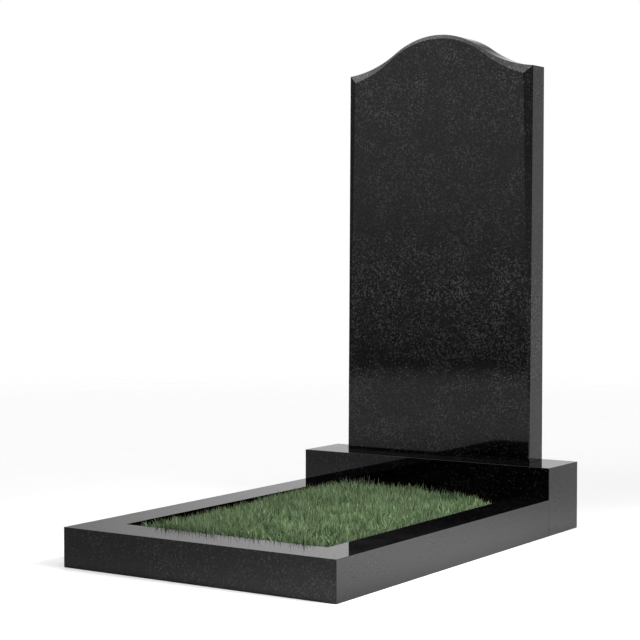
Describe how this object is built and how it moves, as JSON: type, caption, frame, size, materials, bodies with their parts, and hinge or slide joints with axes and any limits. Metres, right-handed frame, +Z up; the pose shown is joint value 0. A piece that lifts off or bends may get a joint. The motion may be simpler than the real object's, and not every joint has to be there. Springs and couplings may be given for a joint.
{
  "type": "headstone",
  "caption": "Polished black granite headstone with an ogee top and tapering chamfers, on a plinth, with a kerbed bed of turf before it.",
  "frame": {"origin": "middle of the set's footprint, on the ground", "axes": "+Z up, X across the set, -Y the way the tablet's polished face looks, from the tablet towards the bed"},
  "size_m": [0.6, 0.935, 1.0473],
  "materials": {
    "tablet_granite": "polished black granite with fine grey flecks",
    "plinth_granite": "polished black granite, sawn underneath",
    "kerb_granite": "polished black granite, sawn underneath",
    "turf": "short lawn grass on dark soil"
  },
  "bodies": {
    "root": {"tablet": "tablet_granite", "plinth": "plinth_granite", "kerb_front": "kerb_granite", "kerb_left": "kerb_granite", "kerb_right": "kerb_granite", "turf": "turf"}
  },
  "joints": []
}
